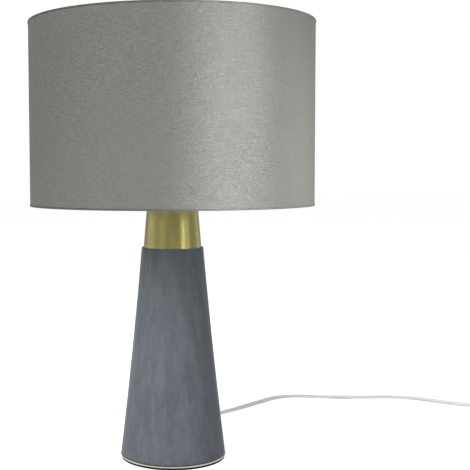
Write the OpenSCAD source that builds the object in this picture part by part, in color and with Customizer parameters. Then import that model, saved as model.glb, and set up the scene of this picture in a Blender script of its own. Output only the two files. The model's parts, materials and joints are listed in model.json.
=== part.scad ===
// Table lamp: a velvet-covered conical base, a brass neck and a drum shade on an E27 holder.
// All lengths are millimetres. The lamp stands on z = 0 and its axis is the z axis.
// The front faces -Y, and the lead leaves the back of the base towards +Y.

/* [Shade] */
// Outside diameter of the drum shade
shade_d = 300; // [270:1:320]
// Height of the drum shade
shade_h = 190; // [180:1:200]
// Height of the shade's top rim above the table
lamp_h = 460; // [455:1:470]
// Thickness of the stiff lining of the shade
liner_t = 0.7; // [0.5:0.1:1]
// Thickness of the fabric on the shade
fabric_t = 0.7; // [0.5:0.1:1]
// Height of the folded hem at each rim
hem_h = 1.8; // [1.5:0.1:3]
// Diameter of the wire in the shade's rings and arms
wire_d = 3.2; // [2.8:0.1:3.6]

/* [Base] */
// Outside diameter at the foot of the velvet cone
cone_foot_d = 112.2; // [106:0.2:116]
// Outside diameter at the top of the velvet cone
cone_top_d = 65.6; // [65.4:0.2:70]
// Height of the top of the velvet cone above the table
cone_top_z = 225.5; // [215:0.5:228]
// How far the cone's outline bows inwards from a straight line
cone_bow = 1; // [0:0.1:3]
// Thickness of the velvet and its backing
velvet_t = 1.2; // [1:0.1:1.5]
// Wall thickness of the moulded core under the velvet
core_t = 3; // [2.6:0.1:3.2]
// Thickness of the soft pad under the lamp
pad_t = 2.2; // [1.8:0.1:2.4]
// Height of the bright ring round the foot
trim_h = 2; // [1.8:0.1:3]
// Radius of the cast ballast disc
weight_r = 45; // [38:0.5:45]
// Thickness of the cast ballast disc
weight_h = 18; // [12:1:18]

/* [Neck] */
// Outside diameter where the brass neck leaves the cone
neck_foot_d = 61.6; // [61:0.1:62]
// Outside diameter at the top of the brass neck
neck_top_d = 51.6; // [46:0.2:56]
// Height of the top of the brass neck above the table
neck_top_z = 285; // [281:1:287]
// Thickness of the spun brass
neck_t = 1; // [0.8:0.1:1]

/* [Lampholder] */
// Outside diameter of the holder's threaded skirt
skirt_d = 39.6; // [39:0.1:40]
// Outside diameter of the ring nut that clamps the shade
collar_d = 56; // [52:1:58]
// Travel of the ring nut along the skirt's thread
collar_travel = 9; // [4:0.5:9]

/* [Bulb] */
// Diameter of the bulb's globe
bulb_d = 60; // [58:1:60]
// Number of turns that free the bulb
bulb_turns = 3; // [2:0.5:3]

/* [Lead] */
// Width of the flat two-core lead
lead_w = 5.6; // [5:0.1:6]
// Thickness of the flat two-core lead
lead_t = 3.6; // [3:0.1:4]
// Height of the lead's outlet above the table
outlet_z = 12; // [11.5:0.5:12.5]

/* [Switch] */
// Length of the switch on the lead
switch_l = 60; // [58:1:62]
// Width of the switch
switch_w = 25; // [24:0.5:27]
// Height of the switch's two shells together
switch_h = 17.4; // [17.2:0.1:17.8]
// Tilt of the rocker from level at either stop
rocker_tilt = 7; // [4:0.5:7]

/* [Plug] */
// Width of the plug's body across the pins
plug_w = 35; // [33:0.5:36]
// Thickness of the plug's body
plug_t = 14; // [13:0.5:14]
// Spacing of the two pins
pin_pitch = 18.6; // [18:0.1:19]

/* [Hidden] */
$fn = 96;
gap = 0.05;          // between fixed pieces that touch
free_gap = 0.3;      // between pieces that move apart
past = 1;            // how far a cutter runs past a face

// Base
cone_foot_z = pad_t + trim_h;
cone_top_r = cone_top_d / 2;
cone_foot_r = cone_foot_d / 2;
cone_steps = 14;
plate_t = 2;
plate_r = cone_foot_r - 3.2;
trim_r = cone_foot_r + 0.4;
web_z = 40;
web_t = 3;
neck_seat_z = cone_top_z - 15;
boss_r = 4;
boss_h = 15;
boss_ring_r = 45.5;
boss_angles = [30, 150, 270];
plate_screw_r = 1.45;

// Neck, rod and nuts
neck_foot_r = neck_foot_d / 2;
neck_top_r = neck_top_d / 2;
rod_r = 5;
rod_bore_r = 3.5;
rod_low = 13.5;
nut_flats = 14;
nut_h = 4.2;
washer_r = 9;
washer_t = 1.2;
rod_hole_r = 5.3;
holder_z = neck_top_z + washer_t + nut_h + 0.2;
rod_high = holder_z + 9.8;

// Lampholder, heights counted from the bottom of its cap
skirt_r = skirt_d / 2;
skirt_z = holder_z + 20.4;
skirt_top = holder_z + 53.4;
insert_z = holder_z + 14.4;
insert_top = holder_z + 21;
insert_r = 17.2;
flange_z = holder_z + 26;
flange_t = 2.5;
flange_r = 23.5;
thread_pitch = 2.5;

// Shade and its fitter
shade_z = lamp_h - shade_h;
shade_r = shade_d / 2;
wire_r = wire_d / 2;
fabric_r = shade_r - 0.1;
liner_r = fabric_r - fabric_t;
liner_in = liner_r - liner_t;
ring_r = liner_in - wire_r - 0.4;
fitter_z = flange_z + flange_t + free_gap;
fitter_t = 1.6;
fitter_r = 30;
fitter_hole_r = skirt_r + free_gap;
collar_z = fitter_z + fitter_t + free_gap;
collar_h = 9;
arm_start_r = 26.5;
arm_bend_r = 55;

// Bulb, heights counted from the tip of its contact
bulb_z = holder_z + 25.4;
screw_z = bulb_z + 5;
housing_z = bulb_z + 26;
board_z = bulb_z + 58.4;
globe_z = bulb_z + 60;
globe_centre_z = bulb_z + 78;
e27_pitch = 3.629;
screw_mid_r = 12.65;
screw_wave = 0.45;

// The lead's route on the table. Each point is x, y, the height above lying on the table, and the
// roll of the flat section in degrees.
lie = 0.1;
supply_route = [
    [0, 80, 10.1, 0], [2, 97, 8.4, 0], [8, 115, 4, 0], [18, 132, 0.8, 10], [36, 151, 0, 25],
    [60, 171, 0, 45], [87, 197, 0, 65], [111, 223, 0, 75], [132, 246, 0, 65], [152, 259, 0, 30],
    [176, 262, 0, 5], [200, 257, 0, 15], [226, 253, 0, 40], [253, 254, 0, 15], [280, 256, 0, 0],
    [303, 253, 0, 15], [323, 244, 0, 35], [342, 231, 0, 50], [362, 217, 0, 60], [384, 204, 1, 35],
    [396, 197, 2.4, 10], [407, 191, 3.6, 0], [412, 188, 3.6, 0]
];
switch_at = [433, 176];
switch_turn = -30;
lead_in_switch_z = 5.5;
coil_lead_route = [
    [454, 164, 3.6, 0], [459, 161, 3.6, 0], [469.5, 155.1, 2.8, 20], [480, 149.3, 1.2, 50],
    [489.5, 144, 0.2, 80], [498.35, 139.05, 0, 90]
];
coil_at = [481, 109];
coil_mid_r = 31;
coil_columns = 3;
coil_layers = 2;
coil_column_step = lead_t + 0.1;
coil_layer_step = lead_w + 0.1;
plug_lead_route = [
    [498.35, 78.95, 5.7, 90], [488, 73, 5.7, 80], [477.6, 66.9, 4.6, 45], [467.5, 59.6, 2.6, 15],
    [459.8, 50.6, 1, 0], [455, 40.5, 0.1, 0], [452.8, 31, 0, 0], [452.2, 25, 0.7, 0], [452, 19.5, 2.5, 0],
    [452, 14, 4.4, 0], [452, 9.5, 5.1, 0], [452, 8, 5.1, 0]
];
plug_at = [452, 8];
plug_axis_z = plug_t / 2;
relief_l = 22;
plug_l = 36;
pin_r = 2;
pin_l = 19;
sleeve_l = 10;

// The lead inside the lamp: x, y, z from the outlet to the top of the rod.
inner_route = [
    [0, 79.3, 12], [0, 68, 12], [0, 56, 12], [0, 46.8, 12], [0, 44, 11.6], [0, 41, 10.5], [0, 38, 8.8],
    [0, 35, 7.2], [0, 32, 6.3], [0, 29, 6.1], [0, 24, 6.1], [0, 17, 6.3], [0, 10, 7.4], [0, 4.8, 9.8],
    [0, 1.3, 13], [0, 0.2, 18], [0, 0, 26], [0, 0, 294]
];
clamp_y = 30;
clamp_screw_x = 8.5;
core_r = 1.2;

function smooth(t) = t * t * (3 - 2 * t);
function arc(x, y, r, from, to, steps = 8) =
    [for (i = [0:steps]) let (a = from + (to - from) * i / steps) [x + r * cos(a), y + r * sin(a)]];
function unit(v) = v / norm(v);

// Radius of the velvet cone at height z: a straight taper with a slight inward bow.
function cone_r(z) = let (t = (cone_top_z - z) / (cone_top_z - cone_foot_z))
    cone_top_r + (cone_foot_r - cone_top_r) * t - 4 * cone_bow * t * (1 - t);
function cone_side(low, high, inset) =
    [for (i = [0:cone_steps]) let (z = low + (high - low) * i / cone_steps) [cone_r(z) - inset, z]];
function reversed(list) = [for (i = [len(list) - 1:-1:0]) list[i]];

// Height of the lead's centre line when its section is rolled and rests on the table.
function lying(roll) = lie + norm([lead_w / 2 * sin(roll), lead_t / 2 * cos(roll)]);
function placed(route) = [for (p = route) [p[0], p[1], lying(p[3]) + p[2], p[3]]];

// A smooth curve through the points, two rings to each span.
function between(a, b, c, d, t) =
    0.5 * (2 * b + (c - a) * t + (2 * a - 5 * b + 4 * c - d) * t * t + (3 * b - a - 3 * c + d) * t * t * t);
function eased(p) = let (last = len(p) - 1) concat(
    [for (i = [0:last - 1], t = [0, 0.5])
        between(p[max(i - 1, 0)], p[i], p[i + 1], p[min(i + 2, last)], t)],
    [p[last]]);
function heading(p, i) = let (last = len(p) - 1)
    unit([for (k = [0:2]) p[min(i + 1, last)][k] - p[max(i - 1, 0)][k]]);

module tube(route, width, thick, sides) {
    last = len(route) - 1;
    function across(i) = let (h = heading(route, i)) abs(h[2]) > 0.95 ? [1, 0, 0] : unit([h[1], -h[0], 0]);
    function on_ring(at, a, n, roll, u, v) = [for (m = [0:2])
        at[m] + a[m] * (u * cos(roll) - v * sin(roll)) + n[m] * (u * sin(roll) + v * cos(roll))];
    rings = [for (i = [0:last]) let (a = across(i), n = cross(a, heading(route, i)))
        for (k = [0:sides - 1]) let (turn = 360 * k / sides)
            on_ring(route[i], a, n, route[i][3], width / 2 * cos(turn), thick / 2 * sin(turn))];
    faces = concat(
        [for (i = [0:last - 1], k = [0:sides - 1], half = [0, 1])
            let (j = (k + 1) % sides, a = i * sides, b = a + sides)
            half == 0 ? [a + k, b + k, b + j] : [a + k, b + j, a + j]],
        [[for (k = [0:sides - 1]) k]],
        [[for (k = [sides - 1:-1:0]) last * sides + k]]);
    polyhedron(rings, faces);
}

module ring(outer, inner, low, high) {
    translate([0, 0, low]) difference() {
        cylinder(h = high - low, r = outer);
        translate([0, 0, -past]) cylinder(h = high - low + 2 * past, r = inner);
    }
}

module hoop(mid_r, wire, z) {
    rotate_extrude() translate([mid_r, z]) circle(r = wire, $fn = 32);
}

module bar(from, to, r) {
    way = to - from;
    translate(from) rotate([0, acos(way[2] / norm(way)), atan2(way[1], way[0])])
        cylinder(h = norm(way), r = r, $fn = 32);
}

module rounded(l, w, r, h) {
    linear_extrude(h) union() {
        square([l - 2 * r, w], center = true);
        square([l, w - 2 * r], center = true);
        for (x = [-1, 1], y = [-1, 1]) translate([x * (l / 2 - r), y * (w / 2 - r)]) circle(r = r, $fn = 48);
    }
}

module at_bosses() {
    for (a = boss_angles) rotate(a) translate([boss_ring_r, 0, 0]) children();
}

// A cylinder along +Y through the wall at the lead's outlet.
module outlet_cut(r, from, to) {
    translate([0, from, outlet_z]) rotate([-90, 0, 0]) cylinder(h = to - from, r = r, $fn = 48);
}

// ---- base ----

module base_pad() {
    color("#1b1b1a") cylinder(h = pad_t, r = cone_foot_r - 0.6);
}

module bottom_plate() {
    color("#8d9092") difference() {
        translate([0, 0, pad_t]) cylinder(h = plate_t, r = plate_r);
        at_bosses() translate([0, 0, pad_t - past]) {
            cylinder(h = plate_t + 2 * past, r = 1.6, $fn = 32);
            translate([0, 0, past]) cylinder(h = 1.6, r1 = 3.2, r2 = 1.6, $fn = 32);
        }
        for (x = [-1, 1]) translate([x * clamp_screw_x, clamp_y, pad_t - past])
            cylinder(h = plate_t + 2 * past, r = 1.55, $fn = 32);
    }
}

module plate_screws() {
    color("#b9bcbe") at_bosses() translate([0, 0, pad_t]) difference() {
        union() {
            cylinder(h = 1.5, r1 = 3, r2 = plate_screw_r, $fn = 32);
            cylinder(h = 13, r = plate_screw_r, $fn = 32);
        }
        for (a = [0, 90]) rotate(a) cube([3.4, 0.6, 1.4], center = true);
    }
}

module trim_ring() {
    bead = trim_h / 2;
    color("#d9cfa6") rotate_extrude() polygon(concat(
        [[plate_r + gap, pad_t]],
        arc(trim_r - bead, pad_t + bead, bead, -90, 90),
        [[plate_r + gap, pad_t + trim_h]]));
}

module weight_disc() {
    low = web_z - weight_h;
    edge = 1.5;
    color("#55565a") rotate_extrude() polygon([
        [rod_hole_r, low], [weight_r - edge, low], [weight_r, low + edge],
        [weight_r, web_z - edge], [weight_r - edge, web_z], [rod_hole_r, web_z]]);
}

module core_shell() {
    low = cone_foot_z + velvet_t + gap;
    high = cone_top_z - velvet_t - gap;
    skin = velvet_t + gap;
    color("#3b3d40") difference() {
        union() {
            rotate_extrude() polygon(concat(
                cone_side(low, high, skin),
                [[neck_foot_r + gap, high], [neck_foot_r + gap, neck_seat_z],
                 [neck_foot_r - neck_t - 0.4, neck_seat_z]],
                reversed(cone_side(low, neck_seat_z - 4, skin + core_t))));
            ring(cone_r(web_z) - skin - 1, rod_hole_r, web_z, web_z + web_t);
            intersection() {
                at_bosses() translate([0, 0, pad_t + plate_t]) {
                    cylinder(h = boss_h, r = boss_r, $fn = 48);
                    translate([0, -1.2, low - pad_t - plate_t]) cube([8, 2.4, boss_h - 2.4]);
                }
                cylinder(h = web_z, r = cone_r(boss_h) - skin - 1);
            }
        }
        at_bosses() cylinder(h = pad_t + boss_h, r = plate_screw_r + gap, $fn = 32);
        outlet_cut(5, 40, 70);
    }
}

module velvet_sleeve() {
    lip_r = 50;
    bottom_edge = 1.6;
    top_edge = 0.6;
    low = cone_foot_z;
    inner_low = low + velvet_t;
    inner_high = cone_top_z - velvet_t;
    color("#6e7479") difference() {
        rotate_extrude() polygon(concat(
            [[lip_r, low]],
            arc(cone_r(low + bottom_edge) - bottom_edge, low + bottom_edge, bottom_edge, -90, -8),
            cone_side(low + bottom_edge + 0.1, cone_top_z - top_edge - 0.1, 0),
            arc(cone_r(cone_top_z - top_edge) - top_edge, cone_top_z - top_edge, top_edge, 8, 90, 6),
            [[neck_foot_r + 2 * gap, cone_top_z], [neck_foot_r + 2 * gap, inner_high]],
            reversed(cone_side(inner_low, inner_high, velvet_t)),
            [[lip_r, inner_low]]));
        outlet_cut(5, 40, 70);
    }
}

module neck_cone() {
    shoulder = 2;
    color("#a79a5c") rotate_extrude() polygon(concat(
        [[neck_foot_r, neck_seat_z + gap], [neck_foot_r, cone_top_z]],
        arc(neck_top_r - shoulder, neck_top_z - shoulder, shoulder, 5, 90),
        [[rod_hole_r, neck_top_z], [rod_hole_r, neck_top_z - neck_t],
         [neck_top_r - shoulder, neck_top_z - neck_t], [neck_top_r - neck_t, neck_top_z - shoulder - 0.5],
         [neck_foot_r - neck_t, cone_top_z], [neck_foot_r - neck_t, neck_seat_z + gap]]));
}

module threaded_rod() {
    color("#c3c5c4") ring(rod_r, rod_bore_r, rod_low, rod_high);
}

module rod_nuts() {
    low = web_z - weight_h - washer_t - nut_h;
    color("#c9cac8") for (z = [low, neck_top_z + washer_t]) translate([0, 0, z]) difference() {
        cylinder(h = nut_h, r = nut_flats / 2 / cos(30), $fn = 6);
        translate([0, 0, -past]) cylinder(h = nut_h + 2 * past, r = rod_r + gap);
    }
}

module rod_washers() {
    color("#b2b4b3") for (z = [web_z - weight_h - washer_t, neck_top_z])
        ring(washer_r, rod_r + 0.1, z, z + washer_t);
}

// ---- lead outlet and the wiring inside ----

module outlet_bush() {
    wall = cone_r(outlet_z);
    face = wall + 0.9;
    inside = wall - velvet_t - core_t - gap;
    color("#e6e6e0") translate([0, 0, outlet_z]) rotate([-90, 0, 0]) difference() {
        rotate_extrude() polygon([
            [0, inside - 3.6], [6.4, inside - 3.6], [6.4, inside - 1.4], [4.9, inside - 1.4],
            [4.9, face], [7, face], [7, face + 2], [5.2, face + 3], [3.7, 80], [0, 80]]);
        translate([0, 0, inside - 5]) cylinder(h = 90 - inside, r = lead_w / 2 + 0.1, $fn = 48);
    }
}

module lead_clamp() {
    top = pad_t + plate_t;
    color("#f0efe8") difference() {
        translate([-12, clamp_y - 4, top]) cube([24, 8, 6.2]);
        translate([-3.1, clamp_y - 5, top - past]) cube([6.2, 10, 4.1 + past]);
        translate([-3.1, clamp_y, top + 2]) rotate([20, 0, 0]) cube([6.2, 6, 3.4]);
        for (x = [-1, 1]) translate([x * clamp_screw_x, clamp_y, top - past])
            cylinder(h = 9, r = 1.7, $fn = 32);
    }
}

module clamp_screws() {
    top = pad_t + plate_t + 6.2;
    color("#c9cac8") for (x = [-1, 1]) translate([x * clamp_screw_x, clamp_y, 0]) difference() {
        union() {
            translate([0, 0, top]) cylinder(h = 1.8, r = 2.8, $fn = 32);
            translate([0, 0, pad_t + 0.2]) cylinder(h = top - pad_t, r = 1.5, $fn = 32);
        }
        translate([0, 0, top + 1.6]) cube([6, 0.7, 1.2], center = true);
    }
}

module inner_lead() {
    color("#ececea") tube([for (p = reversed(inner_route)) [p[0], p[1], p[2], 0]], lead_w, lead_t, 10);
}

// One core, from the end of the sheath at the rod's top to its terminal; side is -1 or 1.
module core(side) {
    tube([
        [side * 1.3, 0, 294, 0], [side * 1.3, 0, rod_high - 1, 0], [side * 2.4, 0, rod_high + 1.2, 0],
        [side * 6.6, 0, rod_high + 2.6, 0], [side * 8, 0, insert_z - 0.6, 0], [side * 8, 0, insert_z + 3, 0]
    ], 2 * core_r, 2 * core_r, 8);
}

module live_core() {
    color("#6b4126") core(-1);
}

module neutral_core() {
    color("#2d4f9b") core(1);
}

// ---- lampholder ----

module holder_cap() {
    color("#ecebe6") translate([0, 0, holder_z]) difference() {
        rotate_extrude() polygon([
            [rod_r + gap, 0], [9, 0], [9.6, 5], [14, 8.2], [18.2, 11], [19.4, 14], [19.4, 20.4],
            [17.6, 20.4], [17.6, 14.4], [17.2, 14], [12.5, 10.8], [11, 10.2], [rod_r + gap, 10.2]]);
        translate([-12, 0, 2.6]) rotate([0, 90, 0]) cylinder(h = 10, r = 1.55, $fn = 32);
    }
}

module cap_lock_screw() {
    color("#9da0a1") translate([-9.6, 0, holder_z + 2.6]) rotate([0, 90, 0]) difference() {
        cylinder(h = 4.5, r = 1.5, $fn = 32);
        cube([0.5, 4, 1.6], center = true);
    }
}

module holder_insert() {
    color("#f3f1ea") difference() {
        translate([0, 0, insert_z]) cylinder(h = insert_top - insert_z, r = insert_r);
        for (x = [-1, 1]) {
            translate([x * 8 - 1.4, -1.4, insert_z - past]) cube([2.8, 2.8, 4.2 + past]);
            translate([x * 8, -insert_r - past, insert_z + 3]) rotate([-90, 0, 0])
                cylinder(h = insert_r - 0.4, r = 1.7, $fn = 32);
        }
    }
}

module terminal_screws() {
    color("#c8b26a") for (x = [-1, 1]) translate([x * 8, -14.5, insert_z + 3]) rotate([-90, 0, 0])
        difference() {
            cylinder(h = 13, r = 1.6, $fn = 32);
            cube([0.5, 4, 1.6], center = true);
        }
}

module centre_contact() {
    color("#c9a94e") translate([0, 2.5, insert_top]) rotate([90, 0, 0]) linear_extrude(5) polygon([
        [-10, 0], [-4, 0], [3, 3.6], [3, 4.2], [1.5, 4.2], [-4.4, 0.6], [-10, 0.6]]);
}

module socket_shell() {
    wave = [for (i = [0:24]) let (z = 1.6 + i * 20 / 24) [13.9 + 0.35 * cos(360 * z / e27_pitch), z]];
    color("#cbb36a") translate([0, 0, insert_top]) rotate_extrude() polygon(concat(
        [[15, 0], [16.2, 0], [16.2, 0.6], [14.9, 0.6]],
        [for (p = wave) [p[0] + 0.5, p[1]]],
        reversed(wave)));
}

module holder_skirt() {
    low = skirt_z;
    turns = 8;
    thread_z = flange_z + flange_t + 2.2;
    thread = [for (i = [0:turns], s = [0, 1])
        [skirt_r - 0.5 * s, thread_z + i * thread_pitch + s * thread_pitch * 0.6]];
    color("#f1f0eb") rotate_extrude() polygon(concat(
        [[17.3, low], [skirt_r - 0.2, low], [skirt_r, flange_z - 1], [flange_r, flange_z],
         [flange_r, flange_z + flange_t], [skirt_r, flange_z + flange_t]],
        thread,
        [[skirt_r - 0.5, skirt_top - 0.8], [skirt_r - 1.3, skirt_top], [15.4, skirt_top],
         [15, skirt_top - 0.5], [15, skirt_top - 2.5], [17.3, skirt_top - 3.5]]));
}

module shade_collar() {
    grips = 24;
    color("#f1f0eb") translate([0, 0, collar_z]) difference() {
        rotate_extrude() polygon([
            [fitter_hole_r, 0], [collar_d / 2, 0], [collar_d / 2, 2.6], [24.6, 3.4], [24.2, collar_h - 0.6],
            [23.6, collar_h], [fitter_hole_r, collar_h]]);
        for (i = [0:grips - 1]) rotate(i * 360 / grips) translate([collar_d / 2 + 0.5, 0, -past])
            cylinder(h = 4.6, r = 1.2, $fn = 16);
    }
}

// ---- shade ----

module fitter_ring() {
    color("#f4f3ef") ring(fitter_r, fitter_hole_r, fitter_z, fitter_z + fitter_t);
}

// One wire arm from the fitter ring out and down to the shade's lower ring.
module arm(angle) {
    high = fitter_z - wire_r;
    low = shade_z + 5;
    bend = [arm_bend_r, 0, high];
    end = [ring_r - 3.4, 0, low];
    rotate(angle) {
        bar([arm_start_r, 0, high], bend, wire_r);
        translate(bend) sphere(r = wire_r + 0.06, $fn = 32);
        bar(bend, end, wire_r);
    }
}

module back_arm() {
    color("#f4f3ef") arm(90);
}

module left_arm() {
    color("#f4f3ef") arm(210);
}

module right_arm() {
    color("#f4f3ef") arm(330);
}

module bottom_ring() {
    color("#f4f3ef") hoop(ring_r, wire_r, shade_z + hem_h + wire_r + 0.2);
}

module top_ring() {
    color("#f4f3ef") hoop(ring_r, wire_r, lamp_h - hem_h - wire_r - 0.2);
}

module shade_liner() {
    color("#f2f1ec") ring(liner_r, liner_in, shade_z + hem_h, lamp_h - hem_h);
}

module shade_fabric() {
    color("#93918b") ring(fabric_r, liner_r, shade_z + hem_h, lamp_h - hem_h);
}

// The fabric folded over a rim, with a rounded outer edge; up is 1 at the top rim and -1 at the bottom.
module hem(z, up) {
    inner = liner_in - 0.4;
    round_r = 0.8;
    color("#7d7c77") translate([0, 0, z]) rotate_extrude() polygon([
        for (p = concat(
            [[inner, hem_h], [shade_r, hem_h]],
            arc(shade_r - round_r, round_r, round_r, 0, -90, 5),
            arc(inner + round_r, round_r, round_r, -90, -180, 5))) [p[0], -up * p[1]]]);
}

module bottom_hem() {
    hem(shade_z, -1);
}

module top_hem() {
    hem(lamp_h, 1);
}

// ---- bulb ----

module bulb_contact() {
    color("#b9babb") translate([0, 0, bulb_z]) cylinder(h = 2.2, r1 = 3.4, r2 = 4.8, $fn = 48);
}

module bulb_insulator() {
    color("#26272a") translate([0, 0, bulb_z + 2.2]) cylinder(h = 2.8, r1 = 5.6, r2 = 11.8);
}

module bulb_screw_shell() {
    wave = [for (i = [0:25]) let (z = i * 21 / 25)
        [screw_mid_r + screw_wave * cos(360 * z / e27_pitch + 180), z]];
    color("#c5c7c8") translate([0, 0, screw_z]) rotate_extrude() polygon(concat(
        [[11.8, 0]], wave, [[11.8, 21]]));
}

module bulb_housing() {
    outline = [[12.6, 0], [14, 0.6], [14.4, 4], [16, 10], [18.6, 17], [21.4, 25], [23.2, 30], [24, 34]];
    wall = 1.2;
    color("#f6f5f1") translate([0, 0, housing_z]) rotate_extrude() polygon(concat(
        outline, [for (p = reversed(outline)) [p[0] - wall, p[1]]]));
}

module driver_board() {
    color("#2f6b45") translate([0, 0, bulb_z + 8]) {
        translate([-0.8, -8.5, 0]) cube([1.6, 17, 38]);
        translate([3.9, 2, 22]) cylinder(h = 11, r = 3.6, $fn = 32);
        translate([0.8, -7, 14]) cube([2.6, 5, 6]);
        translate([-3.4, -5, 20]) cube([2.6, 9, 9]);
    }
}

module led_board() {
    chips = 10;
    color("#e9e8e2") translate([0, 0, board_z]) {
        cylinder(h = 1.6, r = 22.4);
        for (i = [0:chips - 1]) rotate(i * 360 / chips) translate([13.6, -1.4, 1.5]) cube([2.8, 2.8, 0.8]);
    }
}

module bulb_globe() {
    wall = 1.2;
    color("#fbfaf6") translate([0, 0, globe_centre_z]) difference() {
        sphere(r = bulb_d / 2);
        sphere(r = bulb_d / 2 - wall);
        translate([0, 0, globe_z - globe_centre_z - bulb_d]) cylinder(h = bulb_d, r = bulb_d);
    }
}

// ---- lead, switch and plug ----

module supply_lead() {
    color("#ececea") tube(eased(placed(supply_route)), lead_w, lead_t, 8);
}

module coil_lead() {
    color("#ececea") tube(placed(coil_lead_route), lead_w, lead_t, 8);
}

module plug_lead() {
    color("#ececea") tube(placed(plug_lead_route), lead_w, lead_t, 8);
}

// The outer shape of the wound part of the lead.
module lead_coil() {
    half = (coil_columns - 1) * coil_column_step / 2 + lead_t / 2;
    high = lie + lead_w + (coil_layers - 1) * coil_layer_step;
    edge = 1.4;
    color("#ececea") translate([coil_at[0], coil_at[1], 0]) rotate_extrude() translate([coil_mid_r, 0])
        polygon([
            [-half, edge], [-half + edge, 0], [half - edge, 0], [half, edge],
            [half, high - edge], [half - edge, high], [-half + edge, high], [-half, high - edge]]);
}

module at_switch() {
    translate([switch_at[0], switch_at[1], 0]) rotate(switch_turn) children();
}

switch_wall = 1.6;
switch_split = 9;
switch_corner = 6;
pivot_z = 13.2;
rocker_l = 21.6;
rocker_w = 11.6;
pivot_r = 1.25;
screw_places = [[20, 8], [-20, -8]];

module at_switch_screws() {
    for (p = screw_places) translate([p[0], p[1], 0]) children();
}

module switch_base() {
    color("#f2f2ef") at_switch() difference() {
        union() {
            difference() {
                rounded(switch_l, switch_w, switch_corner, switch_split - gap);
                translate([0, 0, switch_wall]) rounded(switch_l - 2 * switch_wall,
                    switch_w - 2 * switch_wall, switch_corner - switch_wall, switch_split);
            }
            at_switch_screws() translate([0, 0, 1]) cylinder(h = switch_split - gap - 1, r = 3, $fn = 32);
        }
        at_switch_screws() translate([0, 0, -past]) {
            cylinder(h = switch_split + 2 * past, r = 1.3, $fn = 32);
            cylinder(h = 2 + past, r = 2.6, $fn = 32);
        }
        translate([-switch_l, -lead_w / 2 - 0.2, lead_in_switch_z - lead_t / 2 - 0.2])
            cube([2 * switch_l, lead_w + 0.4, lead_t + 0.4]);
    }
}

module switch_cover() {
    top_t = 2;
    slot_l = rocker_l + 2;
    slot_w = rocker_w + 0.8;
    color("#f2f2ef") at_switch() difference() {
        union() {
            difference() {
                union() {
                    translate([0, 0, switch_split])
                        rounded(switch_l, switch_w, switch_corner, switch_h - switch_split - 1);
                    translate([0, 0, switch_h - 1.2])
                        rounded(switch_l - 2, switch_w - 2, switch_corner - 1, 1.2);
                }
                translate([0, 0, switch_split - past]) rounded(switch_l - 2 * switch_wall,
                    switch_w - 2 * switch_wall, switch_corner - switch_wall,
                    switch_h - switch_split - top_t + past);
            }
            at_switch_screws() translate([0, 0, switch_split])
                cylinder(h = switch_h - switch_split - 1.4, r = 3, $fn = 32);
            for (y = [-1, 1]) translate([-3, y * (slot_w / 2 + 1) - 1, pivot_z - 2.6])
                cube([6, 2, switch_h - pivot_z + 1.4]);
        }
        translate([-slot_l / 2, -slot_w / 2, switch_split - past]) cube([slot_l, slot_w, switch_h]);
        translate([0, -switch_w / 2 + 3, pivot_z]) rotate([-90, 0, 0])
            cylinder(h = switch_w - 6, r = pivot_r + 0.08, $fn = 48);
        at_switch_screws() cylinder(h = switch_h - 2.6, r = 1.15, $fn = 32);
    }
}

// At rest the rocker stands tipped to one stop; it tips through twice rocker_tilt to the other.
module switch_rocker() {
    half = rocker_l / 2;
    color("#e8e8e4") at_switch() translate([0, 0, pivot_z]) rotate([0, rocker_tilt, 0]) {
        translate([0, rocker_w / 2, 0]) rotate([90, 0, 0]) linear_extrude(rocker_w) polygon([
            [-half, 0.2], [-half, 5.6], [0, 4.6], [half, 5.6], [half, 0.2],
            [3, -1.7], [1.6, -4.4], [-1.6, -4.4], [-3, -1.7]]);
        translate([0, -rocker_w / 2 - 2.2, 0]) rotate([-90, 0, 0])
            cylinder(h = rocker_w + 4.4, r = pivot_r, $fn = 48);
    }
}

module switch_contacts() {
    color("#c9a94e") at_switch() for (x = [-1, 1]) {
        translate([x * 14 - 3, -5, switch_wall]) cube([6, 10, 1.6]);
        translate([x * 8.6 - 2.6, -1.6, switch_wall + 1.6]) cube([5.2, 3.2, 1.2]);
        translate([x * 8.6 - 2.6, -1.6, switch_wall]) cube([5.2, 3.2, 1.6]);
    }
}

module switch_screws() {
    color("#b9bcbe") at_switch() at_switch_screws() difference() {
        union() {
            translate([0, 0, 0.5]) cylinder(h = 1.5, r = 2.4, $fn = 32);
            translate([0, 0, 1]) cylinder(h = 12.5, r = 1.1, $fn = 32);
        }
        translate([0, 0, 0.5]) for (a = [0, 90]) rotate(a) cube([3, 0.6, 1.4], center = true);
    }
}

// The plug's own +X runs from the lead towards the tips of the pins.
module at_plug() {
    translate([plug_at[0], plug_at[1], plug_axis_z]) rotate(-90) children();
}

module plug_body() {
    front = relief_l + plug_l;
    nose_r = 3;
    color("#ecece8") at_plug() difference() {
        union() {
            translate([0, 0, 0]) rotate([0, 90, 0]) cylinder(h = relief_l + 4, r1 = 3.4, r2 = 5.4, $fn = 48);
            translate([0, 0, -plug_t / 2]) linear_extrude(plug_t) polygon(concat(
                [[relief_l, -6], [relief_l + 6, -8], [front - 14, -plug_w / 2 + 1.5]],
                arc(front - nose_r, -plug_w / 2 + nose_r, nose_r, -90, 0, 6),
                arc(front - nose_r, plug_w / 2 - nose_r, nose_r, 0, 90, 6),
                [[front - 14, plug_w / 2 - 1.5], [relief_l + 6, 8], [relief_l, 6]]));
        }
        for (y = [-1, 1]) translate([front - 8, y * pin_pitch / 2, 0]) rotate([0, 90, 0])
            cylinder(h = 9, r = 1.5 + gap, $fn = 48);
    }
}

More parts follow.
